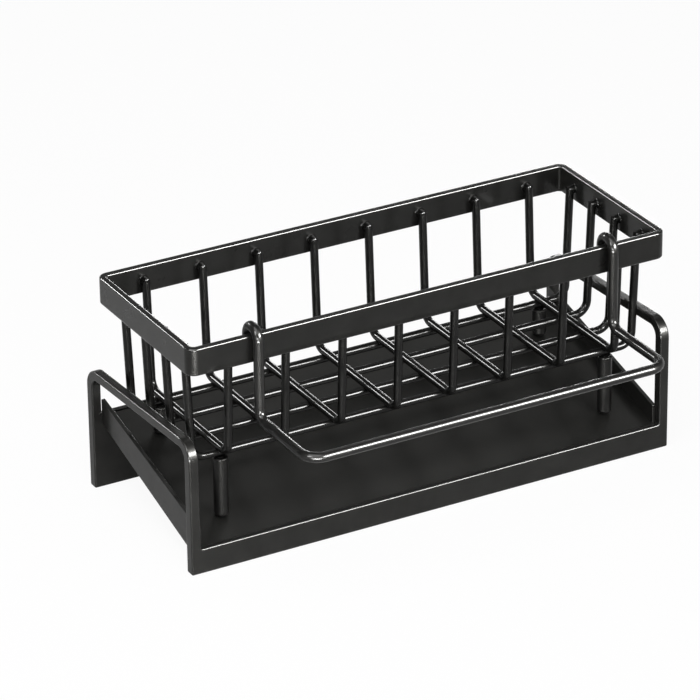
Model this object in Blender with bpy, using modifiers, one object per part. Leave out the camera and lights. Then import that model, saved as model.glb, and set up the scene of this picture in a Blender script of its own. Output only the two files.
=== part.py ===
"""Sink caddy: a wire basket on four sleeved legs in a sloping drip tray, with a towel rail on its rim.

Metres, +Z up, +X along the caddy and +Y towards its back. The origin is on the ground, at the middle of the
whole footprint, towel rail included. Heights are measured from the ground.
"""

import math

import bpy
from mathutils import Vector

# Fit between pieces that touch
CLEARANCE = 0.0003

# Drip tray: side frames
BASE_LENGTH = 0.2300
BASE_DEPTH = 0.0940
FRAME_FRONT_HEIGHT = 0.0602
FRAME_BACK_HEIGHT = 0.0560
FRAME_BAR_WIDTH = 0.0044
FRAME_BAR_DEPTH = 0.0047
FRAME_RAIL_THICKNESS = 0.0041
FRAME_BEND_RADIUS = 0.0085
FRAME_FOOT_RADIUS = 0.0008
FRAME_EDGE = 0.0006

# Drip tray: panels, sloping floor and side walls
FRONT_PANEL_HEIGHT = 0.0113
FRONT_PANEL_THICKNESS = 0.0030
BACK_PANEL_HEIGHT = 0.0344
BACK_PANEL_THICKNESS = 0.0032
PANEL_EDGE = 0.0005
TRAY_THICKNESS = 0.0015
WALL_THICKNESS = 0.0014
WALL_RISE_FRONT = 0.0085
WALL_RISE_BACK = 0.0069
WALL_DROP_FRONT = 0.0070
WALL_DROP_BACK = 0.0045

# Basket: rim band
RIM_HEIGHT = 0.1017
RIM_END_INSET = 0.0018
RIM_SIDE_INSET = 0.0050
BAND_HEIGHT = 0.0122
BAND_THICKNESS = 0.0031
BAND_CORNER_RADIUS = 0.0045
BAND_EDGE = 0.0005
BASKET_SET_FORWARD = 0.0040

# Basket: wires
WIRE_DIAMETER = 0.0036
CROSS_WIRES = 8
CROSS_WIRE_MARGIN = 0.0205
CROSS_WIRE_TAPER = 0.0022
CROSS_WIRE_BEND = 0.0050
LONG_WIRES = 4
LONG_WIRE_MARGIN = 0.0150
LONG_WIRE_TAPER = 0.0020
LONG_WIRE_BEND = 0.0060
STUB_DROP = 0.0060
STUB_BEND = 0.0020
STUB_STRAIGHT = 0.0001
BASKET_FLOOR_HEIGHT = 0.0478

# Legs
SLEEVE_WALL = 0.0010
SLEEVE_EDGE = 0.0014
SLEEVE_SOLE = 0.0020
SLEEVE_TOP_GAP = 0.0006

# Towel rail
RAIL_DIAMETER = 0.0044
RAIL_MARGIN = 0.0291
RAIL_SHIFT = 0.0007
RAIL_HEIGHT = 0.0648
RAIL_REACH = 0.0420
RAIL_DROP_BEND = 0.0050
RAIL_CORNER_BEND = 0.0075
HOOK_PLAY = 0.0009
HOOK_TIP_DROP = 0.0080

# Smoothness of round shapes, as counts
ARC_STEPS = 6
EDGE_STEPS = 2
WIRE_ROUND_STEPS = 2
RAIL_ROUND_STEPS = 3
TURNED_STEPS = 20

# Points of a turned piece that lie closer than this are one point
MERGE_DISTANCE = 0.00001

# Finishes: colour, roughness, metallic
BASE_FINISH = ((0.020, 0.020, 0.019), 0.50, 0.0)
TRAY_FINISH = ((0.014, 0.014, 0.013), 0.42, 0.0)
BAND_FINISH = ((0.022, 0.022, 0.021), 0.42, 0.0)
WIRE_FINISH = ((0.020, 0.020, 0.019), 0.28, 0.0)
SLEEVE_FINISH = ((0.016, 0.016, 0.016), 0.40, 0.0)

# Sizes that follow from those above
RIM_LENGTH = BASE_LENGTH - 2 * RIM_END_INSET
RIM_DEPTH = BASE_DEPTH - 2 * RIM_SIDE_INSET
CROSS_WIRE_PITCH = (RIM_LENGTH - 2 * CROSS_WIRE_MARGIN) / (CROSS_WIRES - 1)
LONG_WIRE_PITCH = (RIM_DEPTH - 2 * LONG_WIRE_MARGIN) / (LONG_WIRES - 1)
WIRE_STANDOFF = CLEARANCE + STUB_STRAIGHT + STUB_BEND
SLEEVE_DIAMETER = WIRE_DIAMETER + 2 * (CLEARANCE + SLEEVE_WALL)
RAIL_SPAN = RIM_LENGTH - 2 * RAIL_MARGIN
HOOK_SPAN = BAND_THICKNESS + RAIL_DIAMETER + 2 * HOOK_PLAY

# Places that follow from them. Depths (y) are measured from the front of the base.
RIM_MIDDLE_Y = BASE_DEPTH / 2 - BASKET_SET_FORWARD
RIM_FRONT_Y = RIM_MIDDLE_Y - RIM_DEPTH / 2
HOOK_MIDDLE_Y = RIM_FRONT_Y + BAND_THICKNESS / 2
RAIL_BAR_Y = HOOK_MIDDLE_Y - HOOK_SPAN / 2 - RAIL_REACH
FRONT_Y = min(0, RAIL_BAR_Y - RAIL_DIAMETER / 2)
BASE_FRONT = -(FRONT_Y + BASE_DEPTH) / 2
LONG_WIRE_HEIGHT = BASKET_FLOOR_HEIGHT - WIRE_DIAMETER - CLEARANCE


def clear_scene():
    for old in list(bpy.data.objects):
        bpy.data.objects.remove(old, do_unlink=True)


def new_collection(name):
    made = bpy.data.collections.new(name)
    bpy.context.scene.collection.children.link(made)
    return made


def coated(name, finish):
    """A coating with one finish, for the object of the same name."""
    colour, roughness, metallic = finish
    made = bpy.data.materials.new(name)
    made.use_nodes = True
    shader = made.node_tree.nodes["Principled BSDF"]
    shader.inputs["Base Color"].default_value = (*colour, 1.0)
    shader.inputs["Roughness"].default_value = roughness
    shader.inputs["Metallic"].default_value = metallic
    return made


def empty(name, parent, location, collection):
    made = bpy.data.objects.new(name, None)
    made.parent = parent
    made.location = location
    collection.objects.link(made)
    return made


def place(name, data, parent, location, collection):
    made = bpy.data.objects.new(name, data)
    made.parent = parent
    made.location = location
    collection.objects.link(made)
    return made


def rounded_path(corners, closed, steps=ARC_STEPS):
    """Points along a path whose corners, each (point, radius), are rounded with arcs."""
    points = []
    count = len(corners)
    for index, (corner, radius) in enumerate(corners):
        corner = Vector(corner)
        if radius == 0 or (not closed and index in (0, count - 1)):
            points.append(corner)
            continue
        before = (Vector(corners[index - 1][0]) - corner).normalized()
        after = (Vector(corners[(index + 1) % count][0]) - corner).normalized()
        half = before.angle(after) / 2
        start = corner + before * radius / math.tan(half)
        end = corner + after * radius / math.tan(half)
        middle = corner + (before + after).normalized() * radius / math.sin(half)
        swing = math.pi - 2 * half
        first = start - middle
        across = (end - middle - first * math.cos(swing)) / math.sin(swing)
        for step in range(steps + 1):
            angle = swing * step / steps
            points.append(middle + first * math.cos(angle) + across * math.sin(angle))
    return points


def add_spline(curve, points, closed):
    spline = curve.splines.new("POLY")
    spline.points.add(len(points) - 1)
    for target, point in zip(spline.points, points):
        target.co = (*point, 1.0)
    spline.use_cyclic_u = closed


def wire_curve(name, points, diameter, finish, round_steps=WIRE_ROUND_STEPS):
    """Round bar along the points, with filled ends."""
    curve = bpy.data.curves.new(name, "CURVE")
    curve.dimensions = "3D"
    curve.bevel_depth = diameter / 2
    curve.bevel_resolution = round_steps
    curve.use_fill_caps = True
    add_spline(curve, points, False)
    curve.splines[0].use_smooth = True
    curve.materials.append(coated(name, finish))
    return curve


def plate_curve(name, outlines, thickness, finish, edge=0):
    """Flat plate: outlines in its own plane, half its thickness to each side, rims rounded by edge."""
    curve = bpy.data.curves.new(name, "CURVE")
    curve.dimensions = "2D"
    curve.fill_mode = "BOTH"
    curve.extrude = thickness / 2 - edge
    curve.bevel_depth = edge
    curve.bevel_resolution = EDGE_STEPS - 1
    curve.offset = -edge
    for outline in outlines:
        add_spline(curve, [Vector((*point[:2], 0)) for point in outline], True)
        curve.splines[-1].use_smooth = False
    curve.materials.append(coated(name, finish))
    return curve


def stand_on_edge(target):
    """Turns a plate so that its outline's (x, y) become the caddy's (y, z)."""
    target.rotation_euler = (math.radians(90), 0, math.radians(90))


def tray_height(y):
    """Height of the sloping floor's upper face."""
    back_y = BASE_DEPTH - FRAME_BAR_DEPTH
    rise = BACK_PANEL_HEIGHT - FRONT_PANEL_HEIGHT
    return FRONT_PANEL_HEIGHT + rise * (y - FRONT_PANEL_THICKNESS) / (back_y - FRONT_PANEL_THICKNESS)


def tray_slope():
    run = BASE_DEPTH - FRAME_BAR_DEPTH - FRONT_PANEL_THICKNESS
    return math.atan2(BACK_PANEL_HEIGHT - FRONT_PANEL_HEIGHT, run)


def frame_outline():
    """Side frame as a bent bar: up the front, along the sloping rail and down the back."""
    inner_front = FRAME_BAR_DEPTH
    inner_back = BASE_DEPTH - FRAME_BAR_DEPTH
    fall = (FRAME_FRONT_HEIGHT - FRAME_BACK_HEIGHT) / BASE_DEPTH
    inner_radius = FRAME_BEND_RADIUS - FRAME_RAIL_THICKNESS
    under_front = FRAME_FRONT_HEIGHT - fall * inner_front - FRAME_RAIL_THICKNESS
    under_back = FRAME_FRONT_HEIGHT - fall * inner_back - FRAME_RAIL_THICKNESS
    corners = [
        ((0, 0, 0), FRAME_FOOT_RADIUS),
        ((0, FRAME_FRONT_HEIGHT, 0), FRAME_BEND_RADIUS),
        ((BASE_DEPTH, FRAME_BACK_HEIGHT, 0), FRAME_BEND_RADIUS),
        ((BASE_DEPTH, 0, 0), FRAME_FOOT_RADIUS),
        ((inner_back, 0, 0), 0),
        ((inner_back, under_back, 0), inner_radius),
        ((inner_front, under_front, 0), inner_radius),
        ((inner_front, 0, 0), 0),
    ]
    return rounded_path(corners, True)


def make_side_frames(base, parts):
    outline = frame_outline()
    for side, name in ((-1, "side_frame_left"), (1, "side_frame_right")):
        curve = plate_curve(name, [outline], FRAME_BAR_WIDTH, BASE_FINISH, FRAME_EDGE)
        x = side * (BASE_LENGTH - FRAME_BAR_WIDTH) / 2
        stand_on_edge(place(name, curve, base, (x, 0, 0), parts))


def make_panel(name, height, thickness, front_y, base, parts):
    """Upright panel between the side frames, standing on the ground."""
    length = BASE_LENGTH - 2 * (FRAME_BAR_WIDTH + CLEARANCE)
    outline = rounded_path(
        [
            ((front_y, 0, 0), 0),
            ((front_y, height, 0), PANEL_EDGE),
            ((front_y + thickness, height, 0), PANEL_EDGE),
            ((front_y + thickness, 0, 0), 0),
        ],
        True,
        EDGE_STEPS,
    )
    curve = plate_curve(name, [outline], length, BASE_FINISH)
    stand_on_edge(place(name, curve, base, (0, 0, 0), parts))


def make_tray_floor(base, parts):
    """Sloping floor between the two panels and the two side walls."""
    front = FRONT_PANEL_THICKNESS + CLEARANCE
    back = BASE_DEPTH - FRAME_BAR_DEPTH - CLEARANCE
    drop = TRAY_THICKNESS / math.cos(tray_slope())
    outline = [
        (front, tray_height(front)),
        (back, tray_height(back)),
        (back, tray_height(back) - drop),
        (front, tray_height(front) - drop),
    ]
    length = BASE_LENGTH - 2 * (FRAME_BAR_WIDTH + WALL_THICKNESS + 2 * CLEARANCE)
    curve = plate_curve("tray_floor", [outline], length, TRAY_FINISH)
    stand_on_edge(place("tray_floor", curve, base, (0, 0, 0), parts))


def make_side_walls(base, parts):
    """Strips that close the floor's ends, just inside the side frames."""
    front = FRONT_PANEL_THICKNESS + CLEARANCE
    back = BASE_DEPTH - FRAME_BAR_DEPTH - CLEARANCE
    outline = [
        (front, tray_height(front) + WALL_RISE_FRONT),
        (back, tray_height(back) + WALL_RISE_BACK),
        (back, tray_height(back) - WALL_DROP_BACK),
        (front, tray_height(front) - WALL_DROP_FRONT),
    ]
    for side, name in ((-1, "side_wall_left"), (1, "side_wall_right")):
        curve = plate_curve(name, [outline], WALL_THICKNESS, BASE_FINISH)
        x = side * (BASE_LENGTH / 2 - FRAME_BAR_WIDTH - CLEARANCE - WALL_THICKNESS / 2)
        stand_on_edge(place(name, curve, base, (x, 0, 0), parts))


def band_outline(length, depth, radius):
    corners = [
        ((-length / 2, -depth / 2, 0), radius),
        ((length / 2, -depth / 2, 0), radius),
        ((length / 2, depth / 2, 0), radius),
        ((-length / 2, depth / 2, 0), radius),
    ]
    return rounded_path(corners, True)


def make_rim_band(basket, parts):
    """Flat bar on edge, bent into a closed rectangle."""
    inner_length = RIM_LENGTH - 2 * BAND_THICKNESS
    inner_depth = RIM_DEPTH - 2 * BAND_THICKNESS
    outlines = [
        band_outline(RIM_LENGTH, RIM_DEPTH, BAND_CORNER_RADIUS),
        band_outline(inner_length, inner_depth, BAND_CORNER_RADIUS - BAND_THICKNESS),
    ]
    curve = plate_curve("rim_band", outlines, BAND_HEIGHT, BAND_FINISH, BAND_EDGE)
    place("rim_band", curve, basket, (0, 0, RIM_HEIGHT - BAND_HEIGHT / 2), parts)


def u_wire_points(rim_span, taper, floor_height, bend):
    """Half-span and height pairs of a U wire: stub, wall, floor, wall and stub."""
    stub = rim_span / 2 - BAND_THICKNESS - CLEARANCE
    wall = rim_span / 2 - BAND_THICKNESS - WIRE_STANDOFF
    low = wall - taper
    top = RIM_HEIGHT - STUB_DROP
    return [
        (-stub, top, 0),
        (-wall, top, STUB_BEND),
        (-low, floor_height, bend),
        (low, floor_height, bend),
        (wall, top, STUB_BEND),
        (stub, top, 0),
    ]


def make_cross_wires(basket, parts):
    """U wires from the front of the rim to its back, lying on the long wires."""
    pairs = u_wire_points(RIM_DEPTH, CROSS_WIRE_TAPER, BASKET_FLOOR_HEIGHT, CROSS_WIRE_BEND)
    points = rounded_path([((0, y, z), radius) for y, z, radius in pairs], False)
    for index in range(CROSS_WIRES):
        name = f"cross_wire_{index + 1}"
        curve = wire_curve(name, points, WIRE_DIAMETER, WIRE_FINISH)
        x = (index - (CROSS_WIRES - 1) / 2) * CROSS_WIRE_PITCH
        place(name, curve, basket, (x, 0, 0), parts)


def make_long_wires(basket, parts):
    """U wires from one end of the rim to the other, under the cross wires."""
    pairs = u_wire_points(RIM_LENGTH, LONG_WIRE_TAPER, LONG_WIRE_HEIGHT, LONG_WIRE_BEND)
    points = rounded_path([((x, 0, z), radius) for x, z, radius in pairs], False)
    for index in range(LONG_WIRES):
        name = f"long_wire_{index + 1}"
        curve = wire_curve(name, points, WIRE_DIAMETER, WIRE_FINISH)
        y = (index - (LONG_WIRES - 1) / 2) * LONG_WIRE_PITCH
        place(name, curve, basket, (0, y, 0), parts)


def sleeve_bottom(y):
    """Height at which a sleeve's rounded foot rests on the sloping floor."""
    reach = SLEEVE_DIAMETER / 2 - SLEEVE_EDGE
    lift = (CLEARANCE + SLEEVE_EDGE) / math.cos(tray_slope())
    return tray_height(y + reach) + lift - SLEEVE_EDGE


def sleeve_profile(bottom, top):
    """From the bore's floor up, over the rim and down the outer side to the sole."""
    bore = WIRE_DIAMETER / 2 + CLEARANCE
    outer = SLEEVE_DIAMETER / 2
    corners = [
        ((0, 0, bottom + SLEEVE_SOLE), 0),
        ((bore, 0, bottom + SLEEVE_SOLE), 0),
        ((bore, 0, top), 0),
        ((outer, 0, top), 0),
        ((outer, 0, bottom), SLEEVE_EDGE),
        ((0, 0, bottom), 0),
    ]
    return rounded_path(corners, False, EDGE_STEPS * 2)


def make_sleeve(name, bottom, top, basket, location, parts):
    points = sleeve_profile(bottom, top)
    mesh = bpy.data.meshes.new(name)
    mesh.from_pydata(points, [(index, index + 1) for index in range(len(points) - 1)], [])
    mesh.materials.append(coated(name, SLEEVE_FINISH))
    sleeve = place(name, mesh, basket, location, parts)
    turn = sleeve.modifiers.new("Turn", "SCREW")
    turn.axis = "Z"
    turn.steps = TURNED_STEPS
    turn.render_steps = TURNED_STEPS
    turn.use_merge_vertices = True
    turn.merge_threshold = MERGE_DISTANCE
    turn.use_smooth_shade = True


def make_legs(basket, parts):
    """Four legs under the outermost crossings: a wire stem inside a plastic sleeve."""
    stem_top = LONG_WIRE_HEIGHT - WIRE_DIAMETER / 2 - CLEARANCE
    half_x = (CROSS_WIRES - 1) / 2 * CROSS_WIRE_PITCH
    half_y = (LONG_WIRES - 1) / 2 * LONG_WIRE_PITCH
    for place_name, x, y in (
        ("front_left", -half_x, -half_y),
        ("front_right", half_x, -half_y),
        ("back_left", -half_x, half_y),
        ("back_right", half_x, half_y),
    ):
        bottom = sleeve_bottom(RIM_MIDDLE_Y + y)
        stem_bottom = bottom + SLEEVE_SOLE + CLEARANCE
        stem_name = f"leg_stem_{place_name}"
        stem = wire_curve(stem_name, [(0, 0, stem_bottom), (0, 0, stem_top)], WIRE_DIAMETER, WIRE_FINISH)
        place(stem_name, stem, basket, (x, y, 0), parts)
        make_sleeve(f"leg_sleeve_{place_name}", bottom, stem_top - SLEEVE_TOP_GAP, basket, (x, y, 0), parts)


def hook_crown_height():
    """Height of the hook arc's centre, where its inner side seats on the band's two top edges."""
    seat = HOOK_SPAN / 2 - RAIL_DIAMETER / 2 - CLEARANCE
    return RIM_HEIGHT - math.sqrt(seat**2 - (BAND_THICKNESS / 2) ** 2)


def hook_half(side):
    """One end of the rail from the hook's tip to the front bar; y is measured from the band's middle."""
    x = side * RAIL_SPAN / 2
    reach = HOOK_SPAN / 2
    crown = hook_crown_height()
    points = [Vector((x, reach, RIM_HEIGHT - HOOK_TIP_DROP))]
    for step in range(2 * ARC_STEPS + 1):
        angle = math.pi * step / (2 * ARC_STEPS)
        points.append(Vector((x, reach * math.cos(angle), crown + reach * math.sin(angle))))
    lower = [
        (points[-1], 0),
        ((x, -reach, RAIL_HEIGHT), RAIL_DROP_BEND),
        ((x, -reach - RAIL_REACH, RAIL_HEIGHT), RAIL_CORNER_BEND),
        ((0, -reach - RAIL_REACH, RAIL_HEIGHT), 0),
    ]
    return points + rounded_path(lower, False)[1:-1]


def make_towel_rail(rail, parts):
    """One bent wire: two hooks over the rim, two arms and the bar between them."""
    points = hook_half(-1) + hook_half(1)[::-1]
    curve = wire_curve("towel_rail", points, RAIL_DIAMETER, WIRE_FINISH, RAIL_ROUND_STEPS)
    place("towel_rail", curve, rail, (0, 0, 0), parts)


def main():
    clear_scene()
    parts = new_collection("sink_caddy")
    base = empty("base", None, (0, BASE_FRONT, 0), parts)
    basket = empty("basket", base, (0, RIM_MIDDLE_Y, 0), parts)
    rail = empty("towel_rail_hooks", basket, (RAIL_SHIFT, HOOK_MIDDLE_Y - RIM_MIDDLE_Y, 0), parts)
    make_side_frames(base, parts)
    make_panel("front_panel", FRONT_PANEL_HEIGHT, FRONT_PANEL_THICKNESS, 0, base, parts)
    back_face = BASE_DEPTH - FRAME_BAR_DEPTH
    make_panel("back_panel", BACK_PANEL_HEIGHT, BACK_PANEL_THICKNESS, back_face, base, parts)
    make_tray_floor(base, parts)
    make_side_walls(base, parts)
    make_rim_band(basket, parts)
    make_cross_wires(basket, parts)
    make_long_wires(basket, parts)
    make_legs(basket, parts)
    make_towel_rail(rail, parts)


main()
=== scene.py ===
"""Sink caddy, dressed for the picture: rounded and welded steel, glossy wires, plastic sleeves,
lights and camera.

Metres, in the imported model's frame: +Z up, the ground at zero, +Y towards the back. Each piece
takes its place from the box of the node that it stands for, and its bends and edges from the
named sizes below.
"""

import math

import bmesh
import bpy
from mathutils import Matrix, Vector


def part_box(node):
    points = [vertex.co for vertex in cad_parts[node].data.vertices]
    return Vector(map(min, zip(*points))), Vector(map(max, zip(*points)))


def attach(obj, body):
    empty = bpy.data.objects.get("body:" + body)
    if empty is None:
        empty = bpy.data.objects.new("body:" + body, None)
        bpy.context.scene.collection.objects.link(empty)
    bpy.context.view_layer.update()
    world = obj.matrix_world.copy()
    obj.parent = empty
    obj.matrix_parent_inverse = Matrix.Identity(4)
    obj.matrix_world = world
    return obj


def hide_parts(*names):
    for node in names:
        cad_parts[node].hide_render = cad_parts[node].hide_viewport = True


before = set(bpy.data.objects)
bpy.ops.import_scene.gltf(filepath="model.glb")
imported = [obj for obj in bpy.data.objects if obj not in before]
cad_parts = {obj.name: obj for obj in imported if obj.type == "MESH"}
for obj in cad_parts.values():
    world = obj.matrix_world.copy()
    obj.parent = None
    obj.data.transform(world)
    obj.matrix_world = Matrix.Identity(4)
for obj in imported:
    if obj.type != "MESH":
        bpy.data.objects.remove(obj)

# Drip tray
BAR_WIDTH = 0.0044
BAR_DEPTH = 0.0047
RAIL_THICKNESS = 0.0041
FRAME_FRONT_HEIGHT = 0.0602
FRAME_BACK_HEIGHT = 0.0560
FRAME_BEND = 0.0085
FRAME_EDGE = 0.0007
FRONT_PANEL_THICKNESS = 0.0030
SHEET_THICKNESS = 0.0015
SHEET_EDGE = 0.0003
WALL_RISE_FRONT = 0.0085
WALL_RISE_BACK = 0.0069
WALL_DROP_FRONT = 0.0070
WALL_DROP_BACK = 0.0045

# Basket: WIRE_STANDOFF is the distance from the rim to the middle of a wire's wall at its top, a
# taper how far that wall leans in, LONG_TOP_DROP how far the long wires' tops stay under those of
# their solids, and SLEEVE_RISE how far a sleeve goes up past its solid
BAND_THICKNESS = 0.0031
BAND_CORNER = 0.0045
BAND_EDGE = 0.0008
WIRE_RADIUS = 0.0018
WIRE_STANDOFF = 0.0024
MITRE_EDGE = 0.00055
CROSS_TAPER = 0.0022
CROSS_BEND = 0.0050
LONG_TAPER = 0.0020
LONG_BEND = 0.0060
LONG_TOP_DROP = 0.0003
SLEEVE_RADIUS = 0.0031
SLEEVE_CLEARANCE = 0.0003
SLEEVE_RISE = 0.0012
SLEEVE_FOOT_EDGE = 0.0014
SLEEVE_BORE_FLOOR = 0.0028
SLEEVE_LIP_EDGE = 0.0004
SLEEVE_LIP_HEIGHT = 0.0011
SLEEVE_LIP_PROUD = 0.0002

# Towel rail
RAIL_RADIUS = 0.0022
RAIL_DROP_BEND = 0.0050
RAIL_CORNER_BEND = 0.0075
HOOK_REACH = 0.00465
HOOK_TIP_DROP = 0.0080

# Welds: SEAM_GAP is what the solids leave between welded pieces, SEAM_ENTRY how far a piece goes
# into the next one, and WIRE_SINK how far each wire of a crossing is pressed towards the other.
# WELD_CURVE is the flare's exponent, and the bead's last three are shares of its size.
SEAM_GAP = 0.0003
SEAM_ENTRY = 0.0001
WIRE_SINK = 0.0008
WELD_FLARE = 0.0006
WELD_LENGTH = 0.0007
WELD_CURVE = 2.2
STEM_ENTRY = 0.0003
STEM_FLARE = 0.0003
BEAD_WIDTH = 0.0018
BEAD_HEIGHT = 0.0011
BEAD_SQUARENESS = 0.10
BEAD_UNEVENNESS = 0.05
BEAD_FLATNESS = 0.25

# Smoothness, as counts
ARC_STEPS = 14
EDGE_STEPS = 4
BEVEL_STEPS = 3
TUBE_SIDES = 24
TIP_STEPS = 5
TURNED_SIDES = 48
BEAD_DETAIL = 3

# Settings of mesh tools: a round bevel, and normals that follow the large faces
ROUND_PROFILE = 0.5
FACE_AREA_WEIGHT = 100

# Limits for mesh tools: angles in degrees, and the distance under which two points are one
FOLD_ANGLE = 32.0
SHARP_ANGLE = 40.0
SLEEVE_SHARP_ANGLE = 60.0
FLAT_ANGLE = 0.2
SAME_POINT = 0.000005

# Coats: two near blacks, the range of roughness, fine grain and slow waves (each a noise's scale
# and its depth), the specular level, and the clear gloss on top (its weight and roughness)
FRAME_BLACK = {
    "dark": (0.0065, 0.0065, 0.0060), "light": (0.0095, 0.0095, 0.0088), "roughness": (0.34, 0.42),
}
BAND_BLACK = {
    "dark": (0.0075, 0.0075, 0.0070), "light": (0.0105, 0.0105, 0.0098), "roughness": (0.26, 0.34),
}
WIRE_BLACK = {
    "dark": (0.0015, 0.0015, 0.0014), "light": (0.0028, 0.0028, 0.0026), "roughness": (0.36, 0.44),
}
COATS = {
    "frame_coating": {
        **FRAME_BLACK,
        "grain": (1900.0, 0.000008), "waves": (70.0, 0.00002),
        "specular": 0.14, "gloss": (0.12, 0.11),
    },
    "frame_edge_coating": {
        **FRAME_BLACK,
        "grain": (1900.0, 0.000001), "waves": (70.0, 0.00001),
        "specular": 0.14, "gloss": (0.30, 0.12),
    },
    "tray_coating": {
        "dark": (0.0030, 0.0030, 0.0027), "light": (0.0056, 0.0056, 0.0051),
        "roughness": (0.36, 0.44),
        "grain": (1900.0, 0.000005), "waves": (34.0, 0.00005),
        "specular": 0.26, "gloss": (0.0, 0.1),
    },
    "band_coating": {
        **BAND_BLACK,
        "grain": (1900.0, 0.000008), "waves": (60.0, 0.00003),
        "specular": 0.13, "gloss": (0.16, 0.09),
    },
    "band_edge_coating": {
        **BAND_BLACK,
        "grain": (1900.0, 0.000001), "waves": (60.0, 0.00001),
        "specular": 0.13, "gloss": (0.50, 0.11),
    },
    "wire_coating": {
        **WIRE_BLACK,
        "grain": (1500.0, 0.000001), "waves": (130.0, 0.00001),
        "specular": 0.06, "gloss": (0.24, 0.07),
    },
    "wire_edge_coating": {
        **WIRE_BLACK,
        "grain": (1500.0, 0.000001), "waves": (130.0, 0.00001),
        "specular": 0.05, "gloss": (1.0, 0.12),
    },
    "rail_coating": {
        "dark": (0.0020, 0.0020, 0.0019), "light": (0.0040, 0.0040, 0.0037),
        "roughness": (0.36, 0.44),
        "grain": (1500.0, 0.000001), "waves": (110.0, 0.00001),
        "specular": 0.12, "gloss": (0.34, 0.09),
    },
    "sleeve_plastic": {
        "dark": (0.0040, 0.0040, 0.0040), "light": (0.0065, 0.0065, 0.0065),
        "roughness": (0.32, 0.40),
        "grain": (2600.0, 0.000008), "waves": (90.0, 0.00002),
        "specular": 0.14, "gloss": (0.0, 0.1),
    },
}
SPECULAR_TINT = (1.0, 0.99, 0.94, 1.0)

# The noises of all coats: the clouds of colour and the patches of roughness, each as so many
# times the waves' scale, and the part of a noise's range that is used
CLOUD_SCALE = 2.5
PATCH_SCALE = 1.5
NOISE_MIDDLE = (0.3, 0.7)

# Camera, fitted to the photograph: focal length in its pixels, angles in degrees, and the aim
# point's offset from the picture's middle and distance
PICTURE_SIZE = 700
FOCAL_PIXELS = 4726.29
LOOK_AZIMUTH = 28.791
LOOK_ELEVATION = 26.133
LOOK_ROLL = 0.725
AIM = Vector((0.0, 0.02315, 0.050))
AIM_OFFSET = Vector((0.012594, 0.004258, 1.997880))
SENSOR_WIDTH = 36.0

# Studio: the floor, the height (as a direction's z) where the backdrop fades, and the lamps.
# A brightness is a panel's own, whatever its area.
WHITE = (1.0, 1.0, 1.0, 1.0)
FLOOR_HALF = 6.0
FLOOR_CELLS = 8
FLOOR_COLOUR = (0.86, 0.86, 0.86, 1.0)
FLOOR_WHITE_SHARE = 0.93
FLOOR_GLOSS_SHARE = 0.41
ROOM_LEVEL = 0.22
BACKDROP_TOP = (0.08, 0.24)
LAMPS = (
    # name, towards, distance, width, height, brightness, True for one that only shows in the gloss
    ("key_softbox", (-0.35, -0.35, 0.87), 1.6, 1.20, 1.20, 6.0, False),
    ("front_strip", (0.34, -0.83, 0.44), 1.4, 0.90, 0.50, 105.0, True),
    ("left_strip", (-0.76, -0.35, 0.55), 1.4, 0.40, 0.50, 25.0, True),
    ("low_strip", (-0.62, -0.77, 0.12), 1.5, 0.80, 0.22, 40.0, True),
    ("foot_strip", (-0.43, -0.79, -0.10), 0.42, 0.22, 0.05, 200.0, True),
    ("back_left_strip", (-0.44, 0.79, 0.43), 1.4, 0.20, 0.18, 70.0, True),
    ("back_right_strip", (0.61, 0.79, 0.09), 1.4, 0.36, 0.18, 18.0, True),
    ("ceiling_panel", (0.40, 0.42, 0.81), 1.6, 0.42, 0.60, 1.5, True),
)

UP = Vector((0, 0, 1))
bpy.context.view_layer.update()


# Materials

def new_material(name):
    made = bpy.data.materials.new(name)
    made.use_nodes = True
    return made, made.node_tree.nodes, made.node_tree.links


def noise(nodes, links, place, scale, detail, roughness=0.5):
    made = nodes.new("ShaderNodeTexNoise")
    made.inputs["Scale"].default_value = scale
    made.inputs["Detail"].default_value = detail
    made.inputs["Roughness"].default_value = roughness
    links.new(place.outputs["Object"], made.inputs["Vector"])
    return made.outputs["Fac"]


def spread(nodes, links, value, low, high):
    """The middle of a noise, stretched to the range from low to high."""
    made = nodes.new("ShaderNodeMapRange")
    made.inputs["From Min"].default_value = NOISE_MIDDLE[0]
    made.inputs["From Max"].default_value = NOISE_MIDDLE[1]
    made.inputs["To Min"].default_value = low
    made.inputs["To Max"].default_value = high
    links.new(value, made.inputs["Value"])
    return made.outputs["Result"]


def bump(nodes, links, height, depth):
    made = nodes.new("ShaderNodeBump")
    made.inputs["Distance"].default_value = depth
    links.new(height, made.inputs["Height"])
    return made


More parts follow.
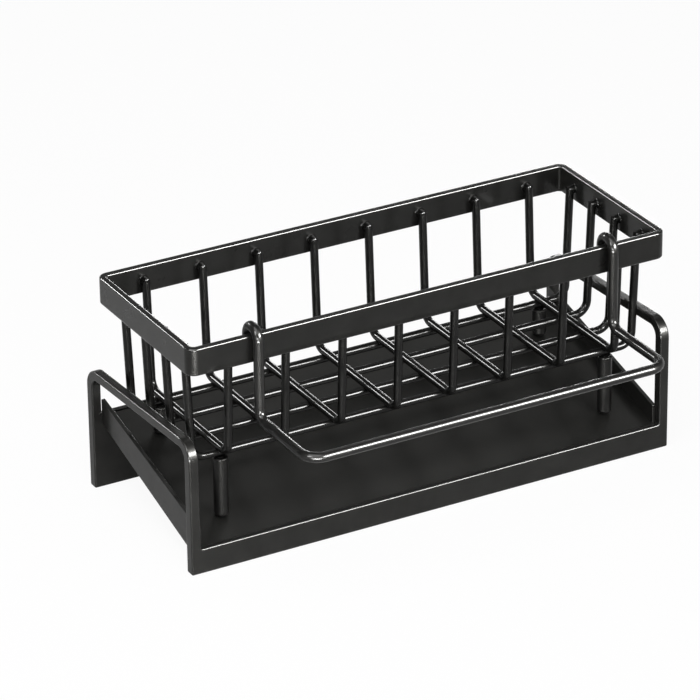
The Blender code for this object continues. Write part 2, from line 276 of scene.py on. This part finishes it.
def coat(name, dark, light, roughness, grain, waves, specular, gloss):
    """A baked coating: near blacks in soft clouds, uneven gloss, fine grain and slow waves."""
    made, nodes, links = new_material(name)
    shader = nodes["Principled BSDF"]
    place = nodes.new("ShaderNodeTexCoord")
    wave_scale, wave_depth = waves
    grain_scale, grain_depth = grain
    clouds = noise(nodes, links, place, wave_scale * CLOUD_SCALE, detail=4.0)
    mix = nodes.new("ShaderNodeMix")
    mix.data_type = "RGBA"
    mix.inputs["A"].default_value = (*dark, 1.0)
    mix.inputs["B"].default_value = (*light, 1.0)
    links.new(spread(nodes, links, clouds, 0.0, 1.0), mix.inputs["Factor"])
    links.new(mix.outputs["Result"], shader.inputs["Base Color"])
    patches = noise(nodes, links, place, wave_scale * PATCH_SCALE, detail=3.0, roughness=0.6)
    links.new(spread(nodes, links, patches, *roughness), shader.inputs["Roughness"])
    slow = bump(nodes, links, noise(nodes, links, place, wave_scale, detail=1.0), wave_depth)
    fine = bump(nodes, links, noise(nodes, links, place, grain_scale, detail=2.0), grain_depth)
    links.new(slow.outputs["Normal"], fine.inputs["Normal"])
    links.new(fine.outputs["Normal"], shader.inputs["Normal"])
    shader.inputs["Specular IOR Level"].default_value = specular
    shader.inputs["Specular Tint"].default_value = SPECULAR_TINT
    shader.inputs["Coat Weight"].default_value = gloss[0]
    shader.inputs["Coat Roughness"].default_value = gloss[1]
    return made


# Mesh tools

def rounded_path(corners, closed, steps=ARC_STEPS):
    """Points along a path whose corners, each (point, radius), are rounded with arcs."""
    points = []
    count = len(corners)
    for index, (corner, radius) in enumerate(corners):
        corner = Vector(corner)
        if radius == 0 or (not closed and index in (0, count - 1)):
            points.append(corner)
            continue
        before = (Vector(corners[index - 1][0]) - corner).normalized()
        after = (Vector(corners[(index + 1) % count][0]) - corner).normalized()
        half = before.angle(after) / 2
        start = corner + before * radius / math.tan(half)
        end = corner + after * radius / math.tan(half)
        middle = corner + (before + after).normalized() * radius / math.sin(half)
        swing = math.pi - 2 * half
        first = start - middle
        across = (end - middle - first * math.cos(swing)) / math.sin(swing)
        for step in range(steps + 1):
            angle = swing * step / steps
            points.append(middle + first * math.cos(angle) + across * math.sin(angle))
    return points


def object_from(name, bm):
    bmesh.ops.recalc_face_normals(bm, faces=bm.faces[:])
    mesh = bpy.data.meshes.new(name)
    bm.to_mesh(mesh)
    bm.free()
    made = bpy.data.objects.new(name, mesh)
    bpy.context.scene.collection.objects.link(made)
    return made


def settle(piece):
    """Applies the piece's modifiers to its mesh."""
    graph = bpy.context.evaluated_depsgraph_get()
    mesh = bpy.data.meshes.new_from_object(piece.evaluated_get(graph))
    piece.modifiers.clear()
    piece.data = mesh


def smooth(piece, sharp_angle=SHARP_ANGLE):
    """Smooth shading that stays flat on the flat faces."""
    piece.data.shade_smooth()
    piece.data.set_sharp_from_angle(angle=math.radians(sharp_angle))
    even = piece.modifiers.new("Even", "WEIGHTED_NORMAL")
    even.keep_sharp = True
    even.weight = FACE_AREA_WEIGHT
    settle(piece)


def hold_two_finishes(piece):
    """Empty material slots, the first for the plain faces and the second for the rounded edges."""
    for _ in range(2):
        piece.data.materials.append(None)


def round_edges(piece, width):
    """Rounds the edges; the rounded faces take the piece's second finish."""
    hold_two_finishes(piece)
    bevel = piece.modifiers.new("Edges", "BEVEL")
    bevel.material = 1
    bevel.width = width
    bevel.segments = BEVEL_STEPS
    bevel.limit_method = "ANGLE"
    bevel.angle_limit = math.radians(FOLD_ANGLE)
    bevel.miter_outer = "MITER_ARC"
    settle(piece)


def join(whole, others):
    """Makes one solid of the whole and the others, with no seams left in its flat faces."""
    for other in others:
        union = whole.modifiers.new("Join", "BOOLEAN")
        union.operation = "UNION"
        union.solver = "EXACT"
        union.object = other
        settle(whole)
        bpy.data.objects.remove(other, do_unlink=True)
    bm = bmesh.new()
    bm.from_mesh(whole.data)
    bmesh.ops.remove_doubles(bm, verts=bm.verts[:], dist=SAME_POINT)
    flat = math.radians(FLAT_ANGLE)
    bmesh.ops.dissolve_limit(bm, angle_limit=flat, verts=bm.verts[:], edges=bm.edges[:])
    bm.to_mesh(whole.data)
    bm.free()


def prism(name, outline, x_low, x_high):
    """A solid whose outline, as (y, z) points, is carried from x_low to x_high."""
    bm = bmesh.new()
    low = [bm.verts.new((x_low, point[0], point[1])) for point in outline]
    high = [bm.verts.new((x_high, point[0], point[1])) for point in outline]
    bm.faces.new(low)
    bm.faces.new(high)
    for index in range(len(outline)):
        after = (index + 1) % len(outline)
        bm.faces.new((low[index], low[after], high[after], high[index]))
    return object_from(name, bm)


def ring_faces(bm, rings, closed):
    """Faces between each ring and the next, and if closed from the last ring to the first."""
    count = len(rings[0])
    last = len(rings) if closed else len(rings) - 1
    for index in range(last):
        here = rings[index]
        there = rings[(index + 1) % len(rings)]
        for side in range(count):
            after = (side + 1) % count
            bm.faces.new((here[side], here[after], there[after], there[side]))


def tube(name, path, radii):
    """Round bar along an open path, with a radius for each point of it.

    Its sharp corners are mitred. The folds there are rounded and take the piece's second finish.
    """
    bm = bmesh.new()
    rings = []
    headings = [(after - before).normalized() for before, after in zip(path, path[1:])]
    across = headings[0].orthogonal()
    for index, (point, radius) in enumerate(zip(path, radii)):
        arriving = headings[max(index - 1, 0)]
        leaving = headings[min(index, len(headings) - 1)]
        heading = (arriving + leaving).normalized()
        inwards = leaving - arriving
        stretch = 1 / math.cos(arriving.angle(leaving) / 2) - 1
        if inwards.length > 0:
            inwards.normalize()
        across = (across - heading * across.dot(heading)).normalized()
        other = heading.cross(across)
        ring = []
        for side in range(TUBE_SIDES):
            angle = 2 * math.pi * side / TUBE_SIDES
            out = radius * (across * math.cos(angle) + other * math.sin(angle))
            ring.append(bm.verts.new(point + out + inwards * out.dot(inwards) * stretch))
        rings.append(ring)
    ring_faces(bm, rings, False)
    bmesh.ops.recalc_face_normals(bm, faces=bm.faces[:])
    folds = [edge for edge in bm.edges if edge.calc_face_angle_signed(0) > math.radians(FOLD_ANGLE)]
    bmesh.ops.bevel(
        bm, geom=folds, affect="EDGES", offset=MITRE_EDGE,
        segments=BEVEL_STEPS, profile=ROUND_PROFILE, material=1,
    )
    bm.faces.new(rings[0])
    bm.faces.new(rings[-1])
    return object_from(name, bm)


def with_weld_flares(path):
    """The path with closer points at its ends, and radii that flare there into a weld."""
    shares = [step / EDGE_STEPS for step in range(EDGE_STEPS + 1)]
    flare = [WIRE_RADIUS + WELD_FLARE * (1 - share)**WELD_CURVE for share in shares]
    heading = (path[1] - path[0]).normalized()
    start = [path[0] + heading * WELD_LENGTH * share for share in shares]
    heading = (path[-2] - path[-1]).normalized()
    end = [path[-1] + heading * WELD_LENGTH * share for share in reversed(shares)]
    inner = path[1:-1]
    return start + inner + end, flare + [WIRE_RADIUS] * len(inner) + flare[::-1]


def with_round_tips(path, radius):
    """The path and its radii, with half-round ends inside the path's own length."""
    turns = [math.pi / 2 * step / TIP_STEPS for step in range(1, TIP_STEPS + 1)]
    tip = [radius * math.sin(turn) for turn in turns]
    heading = (path[1] - path[0]).normalized()
    first = [path[0] + heading * radius * (1 - math.cos(turn)) for turn in turns]
    heading = (path[-2] - path[-1]).normalized()
    last = [path[-1] + heading * radius * (1 - math.cos(turn)) for turn in reversed(turns)]
    inner = path[1:-1]
    return first + inner + last, tip + [radius] * len(inner) + tip[::-1]


def turned(name, profile, centre_x, centre_y):
    """A closed solid turned about a vertical axis, where its (radius, z) profile has its ends."""
    bm = bmesh.new()
    middle = [bm.verts.new((centre_x, centre_y, profile[end][1])) for end in (0, -1)]
    rings = []
    for radius, z in profile[1:-1]:
        ring = []
        for side in range(TURNED_SIDES):
            angle = 2 * math.pi * side / TURNED_SIDES
            x = centre_x + radius * math.cos(angle)
            y = centre_y + radius * math.sin(angle)
            ring.append(bm.verts.new((x, y, z)))
        rings.append(ring)
    ring_faces(bm, rings, False)
    for point, ring in zip(middle, (rings[0], rings[-1])):
        for side in range(TURNED_SIDES):
            bm.faces.new((point, ring[side], ring[(side + 1) % TURNED_SIDES]))
    return object_from(name, bm)


def dress(piece, finishes, body, slot, *nodes):
    """Gives the piece its finishes and body, and has it stand for the nodes.

    The finish of the edges, if there is one, comes second. The slot argument is not used.
    """
    for index, finish in enumerate(finishes):
        if index < len(piece.data.materials):
            piece.data.materials[index] = finish
        else:
            piece.data.materials.append(finish)
    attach(piece, body)
    if nodes:
        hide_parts(*nodes)


def centre(node):
    """The middle of the node's box."""
    low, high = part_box(node)
    return (low + high) / 2


def numbered(prefix):
    """The names of the nodes that start with the prefix, in their order."""
    names = [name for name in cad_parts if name.startswith(prefix)]
    return sorted(names, key=lambda name: int(name[len(prefix):]))


# Drip tray

def frame_outline(front, back):
    """The bent bar of a side frame, seen from its side."""
    inner_front = front + BAR_DEPTH
    inner_back = back - BAR_DEPTH
    fall = (FRAME_FRONT_HEIGHT - FRAME_BACK_HEIGHT) / (back - front)
    under_front = FRAME_FRONT_HEIGHT - fall * BAR_DEPTH - RAIL_THICKNESS
    under_back = FRAME_BACK_HEIGHT + fall * BAR_DEPTH - RAIL_THICKNESS
    inner_bend = FRAME_BEND - RAIL_THICKNESS
    corners = [
        ((front, 0, 0), 0),
        ((front, FRAME_FRONT_HEIGHT, 0), FRAME_BEND),
        ((back, FRAME_BACK_HEIGHT, 0), FRAME_BEND),
        ((back, 0, 0), 0),
        ((inner_back, 0, 0), 0),
        ((inner_back, under_back, 0), inner_bend),
        ((inner_front, under_front, 0), inner_bend),
        ((inner_front, 0, 0), 0),
    ]
    return rounded_path(corners, True)


def make_tray_frame(finishes):
    """Side frames and panels as one welded and coated piece with rounded edges."""
    low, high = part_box("side_frame_left")
    outline = frame_outline(low.y, high.y)
    right_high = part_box("side_frame_right")[1]
    whole = prism("tray_frame", outline, low.x, low.x + BAR_WIDTH)
    others = [prism("frame_right", outline, right_high.x - BAR_WIDTH, right_high.x)]
    entry = SEAM_GAP + BAR_WIDTH / 2
    for node in ("front_panel", "back_panel"):
        panel_low, panel_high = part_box(node)
        panel = [
            (panel_low.y, panel_low.z),
            (panel_low.y, panel_high.z),
            (panel_high.y, panel_high.z),
            (panel_high.y, panel_low.z),
        ]
        others.append(prism(f"{node}_blank", panel, panel_low.x - entry, panel_high.x + entry))
    join(whole, others)
    round_edges(whole, FRAME_EDGE)
    smooth(whole)
    dress(whole, finishes, "base", "base_coating",
          "side_frame_left", "side_frame_right", "front_panel", "back_panel")


def floor_height(y):
    """Height of the sloping floor's upper face."""
    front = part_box("front_panel")[0].y + FRONT_PANEL_THICKNESS
    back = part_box("back_panel")[0].y
    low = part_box("front_panel")[1].z
    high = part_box("back_panel")[1].z
    return low + (high - low) * (y - front) / (back - front)


def make_tray_sheet(floor_finishes, wall_finishes):
    """The sloping floor and the strips at its ends, each let into what it is welded to."""
    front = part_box("front_panel")[1].y - SEAM_ENTRY
    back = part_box("back_panel")[0].y + SEAM_ENTRY
    slope = math.atan2(floor_height(back) - floor_height(front), back - front)
    drop = SHEET_THICKNESS / math.cos(slope)
    floor_low, floor_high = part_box("tray_floor")
    outline = [
        (front, floor_height(front)),
        (back, floor_height(back)),
        (back, floor_height(back) - drop),
        (front, floor_height(front) - drop),
    ]
    entry = SEAM_GAP + SEAM_ENTRY
    sheet = prism("sloping_floor", outline, floor_low.x - entry, floor_high.x + entry)
    smooth(sheet)
    dress(sheet, floor_finishes, "base", "tray_coating", "tray_floor")
    strip = [
        (front, floor_height(front) + WALL_RISE_FRONT),
        (back, floor_height(back) + WALL_RISE_BACK),
        (back, floor_height(back) - WALL_DROP_BACK),
        (front, floor_height(front) - WALL_DROP_FRONT),
    ]
    for side in ("left", "right"):
        low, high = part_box(f"side_wall_{side}")
        out_left = entry if side == "left" else 0.0
        out_right = entry if side == "right" else 0.0
        wall = prism(f"end_strip_{side}", strip, low.x - out_left, high.x + out_right)
        round_edges(wall, SHEET_EDGE)
        smooth(wall)
        dress(wall, wall_finishes, "base", "base_coating", f"side_wall_{side}")


# Basket

def band_section():
    """The flat bar's section, as (outwards, up) about its own middle, with rounded edges."""
    low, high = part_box("rim_band")
    across, up = BAND_THICKNESS / 2, (high.z - low.z) / 2
    corners = [
        ((across, -up, 0), BAND_EDGE),
        ((across, up, 0), BAND_EDGE),
        ((-across, up, 0), BAND_EDGE),
        ((-across, -up, 0), BAND_EDGE),
    ]
    return rounded_path(corners, True, EDGE_STEPS)


def make_rim(finishes):
    """The flat bar on edge, bent into a rounded rectangle; its edges take the second finish."""
    low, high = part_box("rim_band")
    inset = BAND_THICKNESS / 2
    radius = BAND_CORNER - inset
    middle_z = (low.z + high.z) / 2
    corners = [
        ((low.x + inset, low.y + inset, middle_z), radius),
        ((high.x - inset, low.y + inset, middle_z), radius),
        ((high.x - inset, high.y - inset, middle_z), radius),
        ((low.x + inset, high.y - inset, middle_z), radius),
    ]
    path = rounded_path(corners, True)
    section = band_section()
    bm = bmesh.new()
    rings = []
    for index, point in enumerate(path):
        heading = (path[(index + 1) % len(path)] - path[index - 1]).normalized()
        outwards = heading.cross(UP)
        rings.append([bm.verts.new(point + outwards * spot.x + UP * spot.y) for spot in section])
    ring_faces(bm, rings, True)
    for index, face in enumerate(bm.faces):
        on_flat = index % (EDGE_STEPS + 1) == EDGE_STEPS
        face.material_index = 0 if on_flat else 1
    band = object_from("rim_flat_bar", bm)
    hold_two_finishes(band)
    smooth(band)
    dress(band, finishes, "basket", "band_coating", "rim_band")


def u_wire(rim_low, rim_high, floor, taper, bend, top):
    """(across, up) corners and radii of a U wire between two inner faces of the rim."""
    wall_low = rim_low + WIRE_STANDOFF
    wall_high = rim_high - WIRE_STANDOFF
    return [
        (rim_low - SEAM_ENTRY, top, 0),
        (wall_low, top, 0),
        (wall_low + taper, floor, bend),
        (wall_high - taper, floor, bend),
        (wall_high, top, 0),
        (rim_high + SEAM_ENTRY, top, 0),
    ]


def make_wire(name, corners, finishes, node):
    """A wire along the corners, its ends flared into welds."""
    wire = tube(name, *with_weld_flares(rounded_path(corners, False)))
    smooth(wire)
    dress(wire, finishes, "basket", "wire_coating", node)


def make_wires(finishes):
    """Cross wires and long wires, their tops bent to the rim and welded there."""
    rim_low, rim_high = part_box("rim_band")
    for node in numbered("cross_wire_"):
        low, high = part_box(node)
        x = (low.x + high.x) / 2
        floor = low.z + WIRE_RADIUS - WIRE_SINK
        top = high.z - WIRE_RADIUS
        shape = u_wire(rim_low.y + BAND_THICKNESS, rim_high.y - BAND_THICKNESS,
                       floor, CROSS_TAPER, CROSS_BEND, top)
        corners = [((x, y, z), radius) for y, z, radius in shape]
        make_wire(node.replace("cross_wire", "wire_across"), corners, finishes, node)
    for node in numbered("long_wire_"):
        low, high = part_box(node)
        y = (low.y + high.y) / 2
        floor = low.z + WIRE_RADIUS + WIRE_SINK
        top = high.z - WIRE_RADIUS - LONG_TOP_DROP
        shape = u_wire(rim_low.x + BAND_THICKNESS, rim_high.x - BAND_THICKNESS,
                       floor, LONG_TAPER, LONG_BEND, top)
        corners = [((x, y, z), radius) for x, z, radius in shape]
        make_wire(node.replace("long_wire", "wire_along"), corners, finishes, node)


def make_floor_welds(finishes):
    """A squeezed, slightly four-sided bead at each crossing of the floor, unlike the next ones."""
    bm = bmesh.new()
    for number, cross in enumerate(numbered("cross_wire_")):
        for row, along in enumerate(numbered("long_wire_")):
            level = (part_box(cross)[0].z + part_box(along)[0].z) / 2 + WIRE_RADIUS
            place = Vector((centre(cross).x, centre(along).y, level))
            made = bmesh.ops.create_icosphere(bm, subdivisions=BEAD_DETAIL, radius=1.0)
            for vert in made["verts"]:
                angle = math.atan2(vert.co.y, vert.co.x)
                four_sided = BEAD_SQUARENESS * math.cos(4 * angle)
                uneven = BEAD_UNEVENNESS * math.sin(3 * angle + number + 2 * row)
                width = BEAD_WIDTH * (1 + four_sided + uneven)
                height = BEAD_HEIGHT * (1 - BEAD_FLATNESS * abs(vert.co.z))
                vert.co = place + Vector((vert.co.x * width, vert.co.y * width, vert.co.z * height))
    beads = object_from("floor_welds", bm)
    beads.data.shade_smooth()
    dress(beads, finishes, "basket", "wire_coating")


def sleeve_profile(low, high):
    """Sole, rounded foot, wall, lip and bore of a sleeve, as (radius, z)."""
    bore = WIRE_RADIUS + SLEEVE_CLEARANCE
    lip = SLEEVE_RADIUS + SLEEVE_LIP_PROUD
    corners = [
        ((0, low, 0), 0),
        ((SLEEVE_RADIUS, low, 0), SLEEVE_FOOT_EDGE),
        ((SLEEVE_RADIUS, high - SLEEVE_LIP_HEIGHT, 0), SLEEVE_LIP_PROUD / 2),
        ((lip, high - SLEEVE_LIP_HEIGHT + SLEEVE_LIP_PROUD, 0), SLEEVE_LIP_PROUD / 2),
        ((lip, high, 0), SLEEVE_LIP_EDGE),
        ((bore, high, 0), SLEEVE_LIP_PROUD),
        ((bore, low + SLEEVE_BORE_FLOOR, 0), 0),
        ((0, low + SLEEVE_BORE_FLOOR, 0), 0),
    ]
    return [(point.x, point.y) for point in rounded_path(corners, False, EDGE_STEPS)]


def make_legs(stem_finishes, sleeve_finishes):
    """Wire stems, welded under the outermost crossings, in plastic sleeves with a lip."""
    for place in ("front_left", "front_right", "back_left", "back_right"):
        low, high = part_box(f"leg_sleeve_{place}")
        x, y = (low.x + high.x) / 2, (low.y + high.y) / 2
        sleeve = turned(f"sleeve_{place}", sleeve_profile(low.z, high.z + SLEEVE_RISE), x, y)
        smooth(sleeve, SLEEVE_SHARP_ANGLE)
        dress(sleeve, sleeve_finishes, "basket", "sleeve_plastic", f"leg_sleeve_{place}")
        stem_low, stem_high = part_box(f"leg_stem_{place}")
        top = stem_high.z + WIRE_SINK + SEAM_GAP + STEM_ENTRY
        path = [Vector((x, y, z)) for z in (stem_low.z, top - WELD_LENGTH, top)]
        stem = tube(f"stem_{place}", path, [WIRE_RADIUS, WIRE_RADIUS, WIRE_RADIUS + STEM_FLARE])
        smooth(stem)
        dress(stem, stem_finishes, "basket", "wire_coating", f"leg_stem_{place}")


# Towel rail

def hook_half(x, low, high):
    """One end of the rail, from the hook's tip to the front bar."""
    hook_y = high.y - RAIL_RADIUS - HOOK_REACH
    crown = high.z - RAIL_RADIUS - HOOK_REACH
    bar_y = low.y + RAIL_RADIUS
    bar_z = low.z + RAIL_RADIUS
    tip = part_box("rim_band")[1].z - HOOK_TIP_DROP
    points = [Vector((x, hook_y + HOOK_REACH, tip))]
    for step in range(2 * ARC_STEPS + 1):
        angle = math.pi * step / (2 * ARC_STEPS)
        y = hook_y + HOOK_REACH * math.cos(angle)
        z = crown + HOOK_REACH * math.sin(angle)
        points.append(Vector((x, y, z)))
    lower = [
        (points[-1], 0),
        ((x, hook_y - HOOK_REACH, bar_z), RAIL_DROP_BEND),
        ((x, bar_y, bar_z), RAIL_CORNER_BEND),
        ((0, bar_y, bar_z), 0),
    ]
    return points + rounded_path(lower, False)[1:-1]


def make_towel_rail(finishes):
    """One bent wire with half-round tips."""
    low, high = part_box("towel_rail")
    left = hook_half(low.x + RAIL_RADIUS, low, high)
    right = hook_half(high.x - RAIL_RADIUS, low, high)
    path, radii = with_round_tips(left + right[::-1], RAIL_RADIUS)
    rail = tube("rail_wire", path, radii)
    smooth(rail)
    dress(rail, finishes, "towel_rail", "rail_coating", "towel_rail")


# Studio

def make_camera():
    azimuth = math.radians(LOOK_AZIMUTH)
    elevation = math.radians(LOOK_ELEVATION)
    roll = math.radians(LOOK_ROLL)
    forward = Vector((
        math.sin(azimuth) * math.cos(elevation),
        math.cos(azimuth) * math.cos(elevation),
        -math.sin(elevation),
    ))
    right = Vector((math.cos(azimuth), -math.sin(azimuth), 0))
    down = forward.cross(right)
    turned_right = right * math.cos(roll) + down * math.sin(roll)
    turned_down = down * math.cos(roll) - right * math.sin(roll)
    turn = Matrix((turned_right, -turned_down, -forward)).transposed()
    eye = AIM - turned_right * AIM_OFFSET.x - turned_down * AIM_OFFSET.y - forward * AIM_OFFSET.z
    lens = bpy.data.cameras.new("camera")
    lens.sensor_width = SENSOR_WIDTH
    lens.lens = SENSOR_WIDTH * FOCAL_PIXELS / PICTURE_SIZE
    camera = bpy.data.objects.new("camera", lens)
    camera.matrix_world = Matrix.Translation(eye) @ turn.to_4x4()
    bpy.context.scene.collection.objects.link(camera)
    bpy.context.scene.camera = camera


def math_node(nodes, links, operation, value, other):
    """The result of the operation on a node's output and a number or another node's output."""
    made = nodes.new("ShaderNodeMath")
    made.operation = operation
    links.new(value, made.inputs[0])
    if isinstance(other, float):
        made.inputs[1].default_value = other
    else:
        links.new(other, made.inputs[1])
    return made.outputs["Value"]


def seen_rays(nodes, links, camera_share, gloss_share):
    """One share for rays from the camera, one for those off gloss or through glass, else 0."""
    path = nodes.new("ShaderNodeLightPath")
    camera = math_node(nodes, links, "MULTIPLY", path.outputs["Is Camera Ray"], camera_share)
    gloss = math_node(nodes, links, "MULTIPLY", path.outputs["Is Glossy Ray"], gloss_share)
    glass = math_node(nodes, links, "MULTIPLY", path.outputs["Is Transmission Ray"], gloss_share)
    either = math_node(nodes, links, "MAXIMUM", camera, gloss)
    return math_node(nodes, links, "MAXIMUM", either, glass)


def make_floor():
    """A pale floor that shows nearly white where it is seen, and keeps the shadow."""
    bm = bmesh.new()
    bmesh.ops.create_grid(bm, x_segments=FLOOR_CELLS, y_segments=FLOOR_CELLS, size=FLOOR_HALF)
    floor = object_from("studio_floor", bm)
    material, nodes, links = new_material("pale_floor")
    nodes.remove(nodes["Principled BSDF"])
    plain = nodes.new("ShaderNodeBsdfDiffuse")
    plain.inputs["Color"].default_value = FLOOR_COLOUR
    glow = nodes.new("ShaderNodeEmission")
    glow.inputs["Color"].default_value = WHITE
    glow.inputs["Strength"].default_value = 1.0
    mix = nodes.new("ShaderNodeMixShader")
    links.new(seen_rays(nodes, links, FLOOR_WHITE_SHARE, FLOOR_GLOSS_SHARE), mix.inputs["Fac"])
    links.new(plain.outputs["BSDF"], mix.inputs[1])
    links.new(glow.outputs["Emission"], mix.inputs[2])
    links.new(mix.outputs["Shader"], nodes["Material Output"].inputs["Surface"])
    floor.data.materials.append(material)


def make_world():
    """A white backdrop all round, up to the height where a studio's ceiling takes over."""
    world = bpy.data.worlds.new("studio")
    bpy.context.scene.world = world
    world.use_nodes = True
    nodes, links = world.node_tree.nodes, world.node_tree.links
    room = nodes["Background"]
    room.inputs["Color"].default_value = WHITE
    room.inputs["Strength"].default_value = ROOM_LEVEL
    white = nodes.new("ShaderNodeBackground")
    white.inputs["Color"].default_value = WHITE
    white.inputs["Strength"].default_value = 1.0
    place = nodes.new("ShaderNodeTexCoord")
    parts = nodes.new("ShaderNodeSeparateXYZ")
    links.new(place.outputs["Generated"], parts.inputs["Vector"])
    lowness = nodes.new("ShaderNodeMapRange")
    lowness.interpolation_type = "SMOOTHSTEP"
    lowness.inputs["From Min"].default_value = BACKDROP_TOP[0]
    lowness.inputs["From Max"].default_value = BACKDROP_TOP[1]
    lowness.inputs["To Min"].default_value = 1.0
    lowness.inputs["To Max"].default_value = 0.0
    links.new(parts.outputs["Z"], lowness.inputs["Value"])
    rays = seen_rays(nodes, links, 1.0, 1.0)
    seen = math_node(nodes, links, "MULTIPLY", rays, lowness.outputs["Result"])
    mix = nodes.new("ShaderNodeMixShader")
    links.new(seen, mix.inputs["Fac"])
    links.new(room.outputs["Background"], mix.inputs[1])
    links.new(white.outputs["Background"], mix.inputs[2])
    links.new(mix.outputs["Shader"], nodes["World Output"].inputs["Surface"])


def make_lamps():
    """Soft panels around the object, each facing it and none of them seen by the camera."""
    for name, towards, distance, width, height, brightness, gloss_only in LAMPS:
        data = bpy.data.lights.new(name, "AREA")
        data.shape = "RECTANGLE"
        data.size = width
        data.size_y = height
        data.energy = brightness * math.pi * width * height
        lamp = bpy.data.objects.new(name, data)
        lamp.location = AIM + Vector(towards).normalized() * distance
        lamp.rotation_mode = "QUATERNION"
        lamp.rotation_quaternion = (AIM - lamp.location).to_track_quat("-Z", "Y")
        lamp.visible_diffuse = not gloss_only
        lamp.visible_camera = False
        bpy.context.scene.collection.objects.link(lamp)


def main():
    coats = {name: coat(name, **looks) for name, looks in COATS.items()}
    frame_finishes = (coats["frame_coating"], coats["frame_edge_coating"])
    wire_finishes = (coats["wire_coating"], coats["wire_edge_coating"])
    make_tray_frame(frame_finishes)
    make_tray_sheet((coats["tray_coating"],), frame_finishes)
    make_rim((coats["band_coating"], coats["band_edge_coating"]))
    make_wires(wire_finishes)
    make_floor_welds((coats["wire_coating"],))
    make_legs((coats["wire_coating"],), (coats["sleeve_plastic"],))
    make_towel_rail((coats["rail_coating"],))
    make_camera()
    make_floor()
    make_world()
    make_lamps()
    bpy.context.scene.view_settings.view_transform = "Standard"


main()
